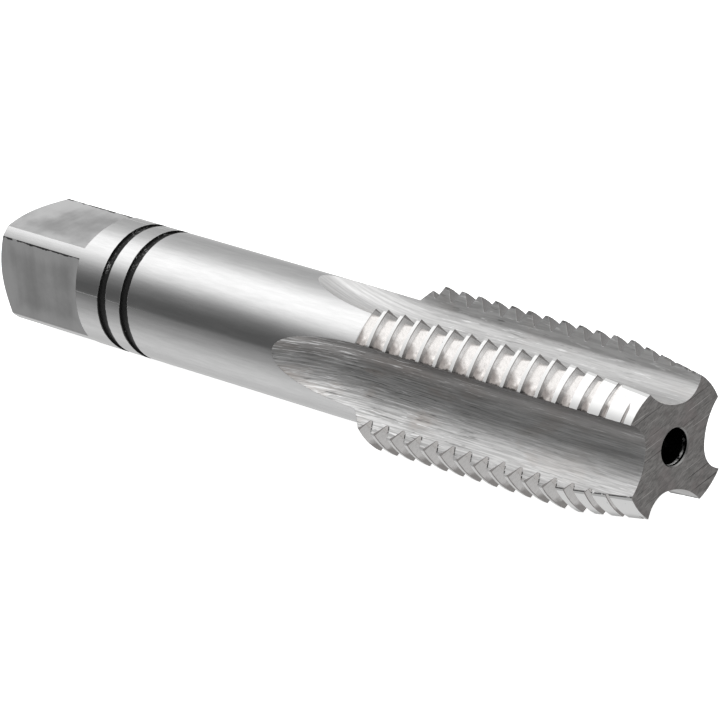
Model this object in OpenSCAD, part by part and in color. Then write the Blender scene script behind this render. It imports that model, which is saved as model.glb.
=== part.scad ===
// Hand tap for cutting a right-hand metric thread: the second tap of a set,
// ground from one bar of tool steel. It has a drive square at the rear,
// a plain shank with two marking grooves, and a fluted, threaded front end.
// The tap lies along +X, with its rear end face at the origin.

/* [Overall] */
// Length of the whole tap, from the rear end face to the front face
overall_len = 79.7; // [74:0.1:110]
// Diameter of the plain shank
shank_d = 12; // [10.5:0.1:12.6]

/* [Drive square] */
// Width across the flats of the drive square
square_af = 9.2; // [8:0.1:10]
// Length of the drive square, from the rear end face
square_len = 11.3; // [8:0.1:13]
// Angle of the shoulder at the end of each flat, from the axis
shoulder_angle = 72; // [45:1:90]
// Turn of the flats about the axis, measured against the flutes
square_turn = 6.3; // [-45:0.1:45]
// Length of the bevel round the rear end of the shank
end_bevel = 0.95; // [0.2:0.05:2]
// Angle of that bevel, from the axis
end_bevel_angle = 60; // [30:1:65]

/* [Marking grooves] */
// Distance from the rear end face to the middle of the first groove
ring_start = 15.15; // [14.75:0.05:20]
// Distance between the middles of neighbouring grooves
ring_step = 2.9; // [1.5:0.1:5]
// Number of marking grooves
ring_count = 2; // [1:1:3]
// Width of each marking groove
ring_w = 0.9; // [0.4:0.05:1.3]
// Depth of each marking groove
ring_depth = 0.2; // [0.05:0.05:0.5]

/* [Thread] */
// Diameter over the crests of the full thread
crest_d = 15.5; // [14.8:0.1:17]
// Distance from one crest to the next
pitch = 2; // [1.5:0.25:2.5]
// Length of the threaded end, from the front face
thread_len = 31.2; // [26:0.1:36]
// Width of the flat on each crest of the full thread
crest_flat = 0.38; // [0.15:0.01:0.5]
// Width of the flat at the bottom of the thread
root_flat = 0.24; // [0.05:0.01:0.4]
// Angle between the two flanks of the thread
flank_angle = 60; // [55:1:60]
// Angle of the slope at the rear of the thread, from the axis
rear_slope = 45; // [30:1:75]
// Position of the first groove on the first land, along the axis
thread_phase = 1.25; // [0:0.05:2]

/* [Tapered lead] */
// Diameter of the front face, where the tapered lead starts
face_d = 12.86; // [12:0.01:14.4]
// Length of the tapered lead
lead_len = 8.8; // [4:0.1:16]
// Sideways offset that relieves the lead behind each cutting edge
lead_relief = 0.45; // [0:0.05:0.8]

/* [Flutes] */
// Diameter of the solid core between the flutes
core_d = 7.4; // [6:0.1:8.4]
// Angle from the middle of a flute to the cutting edge beside it
edge_angle = 30; // [27:0.5:33]
// Radius of the flute floor beside the cutting edge
hook_r = 2.45; // [2.2:0.05:2.6]
// Radius of the flute floor on the heel side
heel_r = 5.6; // [5:0.05:6.2]
// Sideways offset of the deepest line, toward the cutting edge
floor_offset = 0.95; // [0.6:0.05:1.2]
// Length of the flutes at full depth, from the front face
flute_len = 30.3; // [24:0.1:34]
// Radius of the milling wheel that leaves the run-out of each flute
wheel_r = 34; // [20:0.5:45]

/* [Centre holes] */
// Diameter of the centre hole in the front face
front_hole_d = 3.3; // [2:0.1:4.5]
// Depth of the full diameter of the front centre hole
front_hole_depth = 8; // [4:0.5:14]
// Width of the bright bevel round the mouth of the front hole
front_hole_bevel = 0.12; // [0.05:0.01:0.4]
// Diameter of the mouth of the centre hole in the rear end face
rear_hole_d = 3.4; // [2:0.1:4.5]
// Diameter of the drilled bottom of the rear centre hole
rear_pilot_d = 1.6; // [0.8:0.1:1.8]
// Depth of the rear centre hole
rear_hole_depth = 4; // [2.9:0.1:6]

/* [Hidden] */
$fn = 96;

steel = [0.80, 0.80, 0.79];
ground = [0.88, 0.88, 0.88];
milled = [0.62, 0.62, 0.61];
black = [0.05, 0.05, 0.05];

flute_count = 4;
drill_tip_r = 0.15;
over = 1;
crest_r = crest_d / 2;
shank_r = shank_d / 2;
face_r = face_d / 2;
core_r = core_d / 2;
thread_x = overall_len - thread_len;
lead_x = overall_len - lead_len;
flute_x = overall_len - flute_len;

// The flanks fall from the crest flat to the root flat
groove_top = pitch - crest_flat;
thread_depth = (groove_top - root_flat) / 2 / tan(flank_angle / 2);
root_r = crest_r - thread_depth;
mean_r = (crest_r + root_r) / 2;
lead_slope = (crest_r - face_r) / lead_len;
helix_angle = atan(pitch / (2 * PI * mean_r));

// Each groove is cut land by land, a little past both edges of the land
sweep = 48;
groove_first = floor(thread_phase / pitch) - 1;
groove_count = ceil(thread_len / pitch) + 2;

// Flute frame: u runs out along the middle of the flute, v along the turn
edge_u = crest_r * cos(edge_angle);
edge_v = -crest_r * sin(edge_angle);

// The floor arc is a fillet, and can be no larger than one that ends in the edge
edge_rise = [edge_u - core_r, edge_v + floor_offset];
hook_fit = min(hook_r, edge_rise * edge_rise / (2 * edge_rise[0]));
hook_u = core_r + hook_fit;

// The rake face leaves the small floor arc almost as its tangent
edge_span = norm([edge_u - hook_u, edge_v + floor_offset]);
edge_dir = atan2(edge_v + floor_offset, edge_u - hook_u);
blend = 0.998;
touch_dir = edge_dir - acos(blend * hook_fit / edge_span);
touch = [
    fine(hook_u + blend * hook_fit * cos(touch_dir)),
    fine(-floor_offset + blend * hook_fit * sin(touch_dir))
];
reach = 1.8;
rake_end = [
    fine(touch[0] + reach * (edge_u - touch[0])),
    fine(touch[1] + reach * (edge_v - touch[1]))
];

// Rounds to a thousandth, so that run and run-out share their corners
function fine(v) = round(v * 1000) / 1000;

// Turned blank: rear bevel, shank, rear slope of the thread, crests
module blank() {
    slope_len = (crest_r - shank_r) / tan(rear_slope);
    color(ground)
    rotate_extrude()
    polygon([
        [0, 0],
        [shank_r - end_bevel * tan(end_bevel_angle), 0],
        [shank_r, end_bevel],
        [shank_r, thread_x - slope_len],
        [crest_r, thread_x],
        [crest_r, overall_len],
        [0, overall_len]
    ]);
}

// What one flat of the drive square takes off the shank
module flat_waste() {
    wide = 2 * shank_r + 2 * over;
    tall = shank_r + over - square_af / 2;
    color(milled)
    translate([0, wide / 2, 0])
    rotate([90, 0, 0])
    linear_extrude(height = wide)
    translate([square_af / 2, 0])
    polygon([
        [0, -over],
        [tall, -over],
        [tall, square_len + tall / tan(shoulder_angle)],
        [0, square_len]
    ]);
}

// What is ground off one land to make its tapered, relieved lead
module lead_waste() {
    color(ground)
    translate([0, lead_relief, lead_x])
    rotate([0, 0, -sweep / 2])
    rotate_extrude(angle = sweep)
    polygon([
        [crest_r, 0],
        [face_r - over * lead_slope, lead_len + over],
        [crest_r + 2 * over, lead_len + over],
        [crest_r + 2 * over, -over],
        [crest_r + over * lead_slope, -over]
    ]);
}

// One shallow ring round the shank, filled with black
module marking_groove() {
    color(black)
    rotate_extrude()
    translate([shank_r - ring_depth, -ring_w / 2])
    square([ring_depth + over, ring_w]);
}

// Floor of the flute beside the cutting edge; side is 1 along u, -1 against it
module hook_half(start, side) {
    intersection() {
        translate([start + side * hook_fit, -floor_offset])
        circle(r = hook_fit);
        translate([start - 2 * hook_fit, -floor_offset - 2 * hook_fit])
        square([6 * hook_fit, 2 * hook_fit]);
    }
}

// Floor of the flute on the heel side
module heel_half(start, side) {
    intersection() {
        translate([start + side * heel_r, -floor_offset])
        circle(r = heel_r);
        translate([start - 3 * heel_r, -floor_offset])
        square([6 * heel_r, 2 * heel_r]);
    }
}

// Straight rake face from the floor to past the cutting edge
module rake_wedge(start, side) {
    polygon([
        [start + side * hook_fit, -floor_offset],
        [start + side * (touch[0] - core_r), touch[1]],
        [start + side * (rake_end[0] - core_r), rake_end[1]],
        [start + side * (rake_end[0] - core_r), -floor_offset]
    ]);
}

// Straight part of a flute, from its full-depth end out past the front face
module flute_run() {
    translate([0, 0, flute_x])
    linear_extrude(height = flute_len + over)
    children();
}

// Run-out of a flute, as the milling wheel leaves it on the shank
module flute_runout() {
    translate([core_r + wheel_r, 0, flute_x])
    rotate([-90, 0, 0])
    rotate_extrude(angle = 45, start = 135)
    children();
}

// One flute, with its middle along +X of the blank
module flute() {
    color(milled) {
        flute_run() hook_half(core_r, 1);
        flute_run() rake_wedge(core_r, 1);
        flute_run() heel_half(core_r, 1);
        flute_runout() hook_half(wheel_r, -1);
        flute_runout() rake_wedge(wheel_r, -1);
        flute_runout() heel_half(wheel_r, -1);
    }
}

// Section of the thread groove, at the blank's outer surface
module groove_section() {
    polygon([
        [root_r, -root_flat / 2],
        [crest_r, -groove_top / 2],
        [crest_r + over, -groove_top / 2],
        [crest_r + over, groove_top / 2],
        [crest_r, groove_top / 2],
        [root_r, root_flat / 2]
    ]);
}

// One groove across one land, tilted to the helix of the thread
module land_groove() {
    color(steel)
    rotate([helix_angle, 0, 0])
    rotate([0, 0, -sweep / 2])
    rotate_extrude(angle = sweep)
    groove_section();
}

// All the grooves of a single land; the helix climbs from land to land
module land_thread(land) {
    turn = 360 / flute_count;
    for (i = [groove_first : groove_first + groove_count]) {
        z = thread_x + thread_phase + pitch * (i + land / flute_count);
        if (z > thread_x - pitch / 2 && z < overall_len + pitch / 4) {
            translate([0, 0, z])
            rotate([0, 0, turn * (land + 0.5)])
            land_groove();
        }
    }
}

// Centre hole in the front face, with a drill point and a broken edge
module front_hole() {
    r = front_hole_d / 2;
    point = (r - drill_tip_r) / tan(59);
    color(black)
    translate([0, 0, overall_len])
    rotate_extrude()
    polygon([
        [0, -front_hole_depth - point],
        [drill_tip_r, -front_hole_depth - point],
        [r, -front_hole_depth],
        [r, -front_hole_bevel],
        [r + front_hole_bevel, 0],
        [r + front_hole_bevel, over],
        [0, over]
    ]);
}

// Centre hole in the rear end face, with a 60 degree seat
module rear_hole() {
    seat = (rear_hole_d - rear_pilot_d) / 2 / tan(30);
    point = (rear_pilot_d / 2 - drill_tip_r) / tan(59);
    color(milled)
    rotate_extrude()
    polygon([
        [0, -over],
        [rear_hole_d / 2, -over],
        [rear_hole_d / 2, 0],
        [rear_pilot_d / 2, seat],
        [rear_pilot_d / 2, rear_hole_depth],
        [drill_tip_r, rear_hole_depth + point],
        [0, rear_hole_depth + point]
    ]);
}

// Shank end: the blank with its drive square, grooves and centre holes
module turned_body() {
    difference() {
        blank();
        for (i = [0 : 3]) {
            rotate([0, 0, square_turn + 90 * i])
            flat_waste();
        }
        for (i = [0 : ring_count - 1]) {
            translate([0, 0, ring_start + ring_step * i])
            marking_groove();
        }
        front_hole();
        rear_hole();
    }
}

// The turned body with its four flutes and the lead of each land
module fluted_body() {
    turn = 360 / flute_count;
    difference() {
        turned_body();
        for (i = [0 : flute_count - 1]) {
            rotate([0, 0, turn * i])
            flute();
            rotate([0, 0, turn * (i + 0.5)])
            lead_waste();
        }
    }
}

// The whole tap, laid along +X
module tap() {
    rotate([0, 90, 0])
    difference() {
        fluted_body();
        for (land = [0 : flute_count - 1]) {
            land_thread(land);
        }
    }
}

tap();
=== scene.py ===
"""Studio scene of a hand tap: the machined body with its finishes, the light and the camera."""

import logging
import math
from abc import ABC, abstractmethod
from dataclasses import dataclass
from enum import Enum, auto
from functools import reduce

import bpy
from mathutils import Matrix, Vector

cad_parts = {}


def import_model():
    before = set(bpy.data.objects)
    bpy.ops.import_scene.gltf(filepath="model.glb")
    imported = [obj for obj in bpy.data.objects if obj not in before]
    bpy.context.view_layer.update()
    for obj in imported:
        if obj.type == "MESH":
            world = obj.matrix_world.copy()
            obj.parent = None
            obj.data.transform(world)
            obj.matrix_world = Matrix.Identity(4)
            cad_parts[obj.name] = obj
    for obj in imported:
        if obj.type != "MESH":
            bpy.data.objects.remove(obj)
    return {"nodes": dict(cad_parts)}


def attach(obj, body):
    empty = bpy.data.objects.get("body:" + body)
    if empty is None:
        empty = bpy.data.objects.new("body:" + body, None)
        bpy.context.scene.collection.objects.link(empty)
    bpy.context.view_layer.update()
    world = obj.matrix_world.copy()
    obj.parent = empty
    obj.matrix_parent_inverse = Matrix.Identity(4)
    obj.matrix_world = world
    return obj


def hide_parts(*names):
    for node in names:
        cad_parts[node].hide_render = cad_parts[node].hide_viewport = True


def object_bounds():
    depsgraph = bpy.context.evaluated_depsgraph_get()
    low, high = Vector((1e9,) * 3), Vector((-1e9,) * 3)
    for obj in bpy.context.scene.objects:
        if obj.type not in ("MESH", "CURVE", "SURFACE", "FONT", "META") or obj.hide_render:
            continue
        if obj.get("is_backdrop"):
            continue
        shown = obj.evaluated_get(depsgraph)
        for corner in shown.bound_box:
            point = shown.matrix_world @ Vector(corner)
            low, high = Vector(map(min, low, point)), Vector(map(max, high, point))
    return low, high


LOG = logging.getLogger("tap")
MM = 0.001

Socket = bpy.types.NodeSocket
Triple = tuple[float, float, float]

# A soft step: where it starts and ends, then the numbers before and after it, which are 0 and 1 if left out
Span = tuple[float, ...]

# A curve: pairs of a value and the number there, in order
Stops = tuple[tuple[float, float], ...]

PIECE = "tap_body"

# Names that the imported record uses
BODY = "root"
NODE = "tap"

# Sizes that the tap's shape and its finishes share, in millimetres and degrees. Places on X are from the rear face
LENGTH = 79.7
SQUARE_TURN = 6.3
RINGS = (15.15, 18.05)
RING_HALF = 0.45
PITCH = 2.0
CREST_R = 7.75
ROOT_R = 6.555
ROOT_HALF = 0.12
FLANK_LEAN = 30.0
LEAD_START = 70.9
LEAD_END_R = 6.43
LEAD_RELIEF = 0.45
LANDS = 4
QUARTER = 90.0
LAND_MIDDLE = 45.0

# Distance to a surface from a point that can't be on it
OUT_OF_REACH = 9.0

# Palest base colour that a scratch may have
PALEST = 0.97

# Highest number that a curve may hold, and how far apart the nodes are drawn
CURVE_TOP = 2.0
NODE_STEP = 180


@dataclass(frozen=True)
class Grain:
    """A noise pattern fixed to the tap.

    Attributes:
        cells: Cells per metre along X, Y and Z after the turn, or along a flute, across it, and per pair of flutes.
        octaves: Octaves of finer grain.
        rough: Strength of each finer octave.
        turn: Turn about X, in degrees.
        shift: Shift that tells one pattern from another.
        skew: How far the grain is drawn out of line.
    """

    cells: Triple
    octaves: float
    rough: float
    turn: float = 0.0
    shift: Triple = (0.0, 0.0, 0.0)
    skew: float = 0.0


class Wiring:
    """Adds and joins the shader nodes of one material or world. Lengths are in millimetres unless it says metres."""

    def __init__(self, tree: bpy.types.NodeTree) -> None:
        """Start with an empty tree.

        Args:
            tree: The node tree to fill.
        """
        self.tree = tree
        tree.nodes.clear()

    def put(self, socket: Socket, value: object) -> None:
        """Set a socket to a constant, or join it to another socket.

        Args:
            socket: The input to feed.
            value: A number, a tuple, or the output socket that feeds it.
        """
        if isinstance(value, Socket):
            self.tree.links.new(value, socket)
        else:
            socket.default_value = value

    def add(self, kind: str, *values: object, **settings: object) -> bpy.types.Node:
        """Add one node.

        Args:
            kind: The node's type name without its "ShaderNode" prefix.
            *values: What feeds its inputs, in order. None leaves an input alone.
            **settings: Properties to set on the node first.

        Returns:
            The new node.
        """
        node = self.tree.nodes.new("ShaderNode" + kind)
        node.location = (NODE_STEP * len(self.tree.nodes), 0)
        for key, value in settings.items():
            setattr(node, key, value)
        for socket, value in zip(node.inputs, values):
            if value is not None:
                self.put(socket, value)
        return node

    def math(self, step: str, *values: object) -> Socket:
        """One step of arithmetic, by the name of the operation."""
        return self.add("Math", *values, operation=step).outputs[0]

    def plus(self, first: object, second: object) -> Socket:
        """Sum of two numbers or sockets."""
        return self.math("ADD", first, second)

    def minus(self, first: object, second: object) -> Socket:
        """Difference of two numbers or sockets."""
        return self.math("SUBTRACT", first, second)

    def grown(self, value: object, factor: object, more: object) -> Socket:
        """A number times a factor, plus one more."""
        return self.math("MULTIPLY_ADD", value, factor, more)

    def times(self, *values: object) -> Socket:
        """Product of several numbers or sockets."""
        return reduce(lambda first, second: self.math("MULTIPLY", first, second), values)

    def most(self, *values: object) -> Socket:
        """Highest of several numbers or sockets."""
        return reduce(lambda first, second: self.math("MAXIMUM", first, second), values)

    def least(self, *values: object) -> Socket:
        """Lowest of several numbers or sockets."""
        return reduce(lambda first, second: self.math("MINIMUM", first, second), values)

    def size(self, value: object) -> Socket:
        """A number without its sign."""
        return self.math("ABSOLUTE", value)

    def between(self, value: object, low: float, high: float, first: float = 0.0, last: object = 1.0) -> Socket:
        """A soft step from the first number to the last, as a value goes from low to high."""
        return self.add("MapRange", value, low, high, first, last, interpolation_type="SMOOTHSTEP").outputs[0]

    def blend(self, share: object, first: object, second: object) -> Socket:
        """A number between two: share 0 gives the first, 1 the second."""
        return self.add("Mix", share, None, first, second, data_type="FLOAT").outputs[0]

    def mix(self, share: object, first: object, second: object) -> Socket:
        """A colour between two: share 0 gives the first, 1 the second."""
        colours = ((*value, 1.0) if isinstance(value, tuple) else value for value in (first, second))
        return self.add("Mix", share, *(None,) * 5, *colours, data_type="RGBA").outputs[2]

    def curve(self, value: Socket, stops: Stops) -> Socket:
        """A number read off a smooth curve.

        Args:
            value: What is read, from -1 to 1.
            stops: Pairs of a value and the number there, in order.

        Returns:
            The result's socket.
        """
        node = self.add("ValToRGB", self.grown(value, 0.5, 0.5))
        ramp = node.color_ramp
        ramp.interpolation = "CARDINAL"
        for at, _ in stops[1:-1]:
            ramp.elements.new((at + 1) / 2)
        for element, (_, number) in zip(ramp.elements, stops):
            element.color = (*(number / CURVE_TOP,) * 3, 1.0)
        return self.times(node.outputs[0], CURVE_TOP)

    def place(self) -> Socket:
        """The point on the piece, in metres."""
        return self.add("TexCoord").outputs["Object"]

    def point(self) -> tuple[Socket, ...]:
        """X, Y and Z of the point on the piece."""
        larger = self.add("VectorMath", self.place(), (1 / MM,) * 3, operation="MULTIPLY").outputs[0]
        return tuple(self.add("SeparateXYZ", larger).outputs)

    def noise(self, at: Socket, pattern: Grain) -> Socket:
        """Height of a pattern at a point.

        Args:
            at: The point, in metres.
            pattern: The pattern.

        Returns:
            The height, mostly 0.3 to 0.7.
        """
        place = self.add("VectorMath", at, pattern.cells, pattern.shift, operation="MULTIPLY_ADD").outputs[0]
        node = self.add("TexNoise", place)
        self.put(node.inputs["Scale"], 1.0)
        self.put(node.inputs["Detail"], pattern.octaves)
        self.put(node.inputs["Roughness"], pattern.rough)
        self.put(node.inputs["Distortion"], pattern.skew)
        return node.outputs[0]

    def grain(self, pattern: Grain) -> Socket:
        """Height of a pattern that is fixed to the tap.

        Args:
            pattern: The pattern.

        Returns:
            The height, mostly 0.3 to 0.7.
        """
        spin = self.add("VectorRotate", self.place(), rotation_type="EULER_XYZ")
        self.put(spin.inputs["Rotation"], (math.radians(pattern.turn), 0.0, 0.0))
        return self.noise(spin.outputs[0], pattern)

    def streaks(self, pattern: Grain) -> Socket:
        """Height of a pattern that runs along the flutes, and differs from one pair of them to the other.

        Args:
            pattern: The pattern.

        Returns:
            The height, mostly 0.3 to 0.7.
        """
        x, y, z = self.add("SeparateXYZ", self.place()).outputs
        sideways = self.math("GREATER_THAN", self.size(y), self.size(z))
        strip = self.add("CombineXYZ", x, self.blend(sideways, y, z), sideways)
        return self.noise(strip.outputs[0], pattern)

    def along(self) -> Socket:
        """Distance from the rear end face."""
        return self.point()[0]

    def radius(self) -> Socket:
        """Distance from the tap's axis."""
        _, y, z = self.point()
        return self.math("SQRT", self.grown(y, y, self.times(z, z)))

    def quarter_angle(self, start: float = 0.0) -> Socket:
        """Angle about the tap's axis, counted anew from each quarter turn.

        Args:
            start: Where the first quarter starts, in degrees.

        Returns:
            The angle in degrees, from 0 to 90.
        """
        _, y, z = self.point()
        whole = self.grown(self.math("ARCTAN2", z, y), math.degrees(1), LANDS * QUARTER - start)
        return self.math("MODULO", whole, QUARTER)

    def from_groove(self) -> Socket:
        """Measure along the axis from the middle of the nearest thread groove.

        Returns:
            The distance, from half a pitch behind it to half a pitch before it.
        """
        x, y, z = self.point()
        climb = self.grown(self.math("ARCTAN2", z, y), -0.5 / math.pi, self.grown(x, 1 / PITCH, 0.5))
        return self.times(self.minus(self.math("FRACT", climb), 0.5), PITCH)

    def under_crest(self) -> Socket:
        """Measure down from the crests, which come down along the lead.

        Returns:
            The depth below them.
        """
        ahead = self.most(self.minus(self.along(), LEAD_START), 0.0)
        fall = (CREST_R - LEAD_END_R) / (LENGTH - LEAD_START)
        turn = self.minus(self.quarter_angle(), LAND_MIDDLE)
        relief = self.times(turn, LEAD_RELIEF * math.radians(1), self.math("GREATER_THAN", ahead, 0.0))
        drop = self.minus(self.times(ahead, fall), relief)
        return self.minus(self.minus(CREST_R, drop), self.radius())


class Bench(Wiring):
    """Wiring of one material, round its shading node."""

    def __init__(self, name: str) -> None:
        """Start a new material.

        Args:
            name: The material's name.
        """
        self.material = bpy.data.materials.new(name)
        self.material.use_nodes = True
        super().__init__(self.material.node_tree)
        self.shader = self.add("BsdfPrincipled")
        self.add("OutputMaterial", self.shader.outputs[0])

    def feed(self, name: str, value: object) -> None:
        """Feed one input of the shading node."""
        self.put(self.shader.inputs[name], value)


@dataclass(frozen=True)
class Finish(ABC):
    """One surface of the tap, as it leaves its machine.

    Attributes:
        name: The material's name.
        tone: Base colour.
        gloss: Roughness.
        edge: Width over which an edge is broken, in millimetres.
    """

    name: str
    tone: Triple
    gloss: float
    edge: float = 0.05

    def make(self) -> bpy.types.Material:
        """Build the material.

        Returns:
            The new material, ready for a slot.
        """
        bench = Bench(self.name)
        bench.feed("Metallic", 1.0)
        bench.feed("Base Color", (*self.tone, 1.0))
        bench.feed("Roughness", self.gloss)
        self.detail(bench)
        bench.material.diffuse_color = (*self.tone, 1.0)
        return bench.material

    def shade(self, factor: float) -> Triple:
        """The tone made darker or paler."""
        return tuple(min(part * factor, PALEST) for part in self.tone)

    def polish(self, bench: Bench, height: Socket, span: Span, swing: Span) -> Socket:
        """Roughness that a pattern swings about the finish's own."""
        return bench.between(height, *span, *(self.gloss + part for part in swing))

    def relief(self, bench: Bench, height: Socket, depth: float) -> None:
        """Raise a pattern, and break the edges a little.

        Args:
            bench: The material's wiring.
            height: The pattern.
            depth: Height of the pattern, in millimetres.
        """
        bump = bench.add("Bump")
        bench.put(bump.inputs["Strength"], 1.0)
        bench.put(bump.inputs["Distance"], depth * MM)
        bench.put(bump.inputs["Height"], height)
        if self.edge:
            round_off = bench.add("Bevel", samples=4)
            bench.put(round_off.inputs["Radius"], self.edge * MM)
            bench.put(bump.inputs["Normal"], round_off.outputs[0])
        bench.feed("Normal", bump.outputs[0])

    @abstractmethod
    def detail(self, bench: Bench) -> None:
        """Add what sets this surface apart.

        Args:
            bench: The material's wiring.
        """


@dataclass(frozen=True)
class GroundShank(Finish):
    """Ground round the axis and polished, with one long scuff, and paint wiped past the ring grooves."""

    rings: Grain = Grain((9000, 900, 900), 3, 0.6)
    ring_share: float = 0.25
    streaks: Grain = Grain((330, 2600, 2600), 4, 0.65, shift=(3, 1, 7))
    streak_span: Span = (0.3, 0.7)
    darker_tone: float = 0.92
    depth: float = 0.00004
    cloud: Grain = Grain((220, 500, 500), 4, 0.6, shift=(8, 8, 2))
    cloud_span: Span = (0.35, 0.65)
    gloss_swing: Span = (-0.03, 0.04)
    scuff: float = 84.6
    scuff_side: Span = (0.2, 0.6, 1.0, 0.0)
    scuff_fade: Span = (11, 26, 0.9, 0.0)
    scuff_gloss: float = 0.6
    paint: Triple = (0.012, 0.012, 0.012)
    smear: Grain = Grain((300, 700, 700), 4, 0.65, shift=(6, 2, 4))
    smear_ragged: float = 0.3
    smear_reach: float = RING_HALF - 0.13
    smear_below: Span = (-5.2, -2.2, -0.04, 0.14)
    smear_above: Span = (-2, 4, 0.14, -0.03)
    smear_edge: Span = (-0.03, 0.02, 1.0, 0.0)

    def painted(self, bench: Bench) -> Socket:
        """Where paint was wiped past the ring grooves, furthest at the height of the axis.

        Args:
            bench: The material's wiring.

        Returns:
            The paint's strength.
        """
        x, _, z = bench.point()
        reach = bench.grown(bench.grain(self.smear), self.smear_ragged, self.smear_reach)
        spread = bench.least(bench.between(z, *self.smear_below), bench.between(z, *self.smear_above))
        near = bench.least(*(bench.size(bench.minus(x, ring)) for ring in RINGS))
        return bench.between(bench.minus(near, bench.plus(reach, spread)), *self.smear_edge)

    def detail(self, bench: Bench) -> None:
        """Add rings, streaks, a cloudy polish, the scuff and the paint.

        Args:
            bench: The material's wiring.
        """
        streaks = bench.grain(self.streaks)
        polish = self.polish(bench, bench.grain(self.cloud), self.cloud_span, self.gloss_swing)
        side = bench.between(bench.size(bench.minus(bench.quarter_angle(), self.scuff)), *self.scuff_side)
        scuff = bench.times(side, bench.between(bench.along(), *self.scuff_fade))
        bench.feed("Roughness", bench.blend(scuff, polish, self.scuff_gloss))
        ground = bench.mix(bench.between(streaks, *self.streak_span), self.shade(self.darker_tone), self.tone)
        paint = self.painted(bench)
        bench.feed("Base Color", bench.mix(paint, ground, self.paint))
        bench.feed("Metallic", bench.minus(1.0, paint))
        self.relief(bench, bench.grown(bench.grain(self.rings), self.ring_share, streaks), self.depth)


@dataclass(frozen=True)
class SquareFlat(Finish):
    """Milled flat of the drive square: clouded in the middle, worn bright near its borders, with a burr whose broken
    dark line is partly its painted shadow.
    """

    bands: Grain = Grain((520, 40, 40), 3, 0.6)
    band_share: float = 0.45
    cloud: Grain = Grain((230, 230, 230), 5, 0.62, shift=(5, 2, 2))
    cloud_share: float = 0.75
    cloud_span: Span = (0.35, 0.65)
    gloss_swing: Span = (-0.06, 0.06)
    fine: Grain = Grain((5200, 300, 300), 2, 0.5)
    depth: float = 0.0008
    border: Span = (1.95, 3.65)
    rear: Span = (0.8, 3.4, 1.0, 0.0)
    front: Span = (9.0, 10.8)
    rub_share: float = 0.22
    level_span: Span = (0.44, 0.9)
    darker_tone: float = 0.66
    burr_and_shadow: Triple = (0.07, 0.07, 0.07)
    chip: Grain = Grain((900, 60, 60), 3, 0.7, shift=(0, 3, 5))
    chip_ragged: float = 0.6
    chip_reach: float = -4.0
    chip_edge: Span = (0.0, 0.05, 1.0, 0.0)
    gap: Grain = Grain((420, 40, 40), 3, 0.65, shift=(1, 9, 3))
    gap_span: Span = (0.36, 0.44)

    def detail(self, bench: Bench) -> None:
        """Add bands, clouds, bright borders, and a broken dark line at one long edge for a burr and its painted shadow.

        Args:
            bench: The material's wiring.
        """
        bands, cloud = bench.grain(self.bands), bench.grain(self.cloud)
        angle = bench.minus(bench.quarter_angle(SQUARE_TURN - LAND_MIDDLE), LAND_MIDDLE)
        side = bench.times(bench.radius(), bench.math("SINE", bench.math("RADIANS", angle)))
        rim = bench.between(bench.size(side), *self.border)
        ends = (bench.between(bench.along(), *self.rear), bench.between(bench.along(), *self.front))
        shade = bench.grown(bands, self.band_share, bench.times(cloud, self.cloud_share))
        level = bench.grown(bench.most(*ends, rim), self.rub_share, shade)
        skin = bench.mix(bench.between(level, *self.level_span), self.shade(self.darker_tone), self.tone)
        # Broken dark line at one long edge: a burr, partly its painted shadow
        reach = bench.grown(bench.grain(self.chip), self.chip_ragged, self.chip_reach)
        line = bench.between(bench.minus(side, reach), *self.chip_edge)
        line = bench.times(line, bench.between(bench.grain(self.gap), *self.gap_span))
        bench.feed("Base Color", bench.mix(line, skin, self.burr_and_shadow))
        bench.feed("Roughness", self.polish(bench, cloud, self.cloud_span, self.gloss_swing))
        self.relief(bench, bench.plus(bench.grain(self.fine), bands), self.depth)


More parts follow.
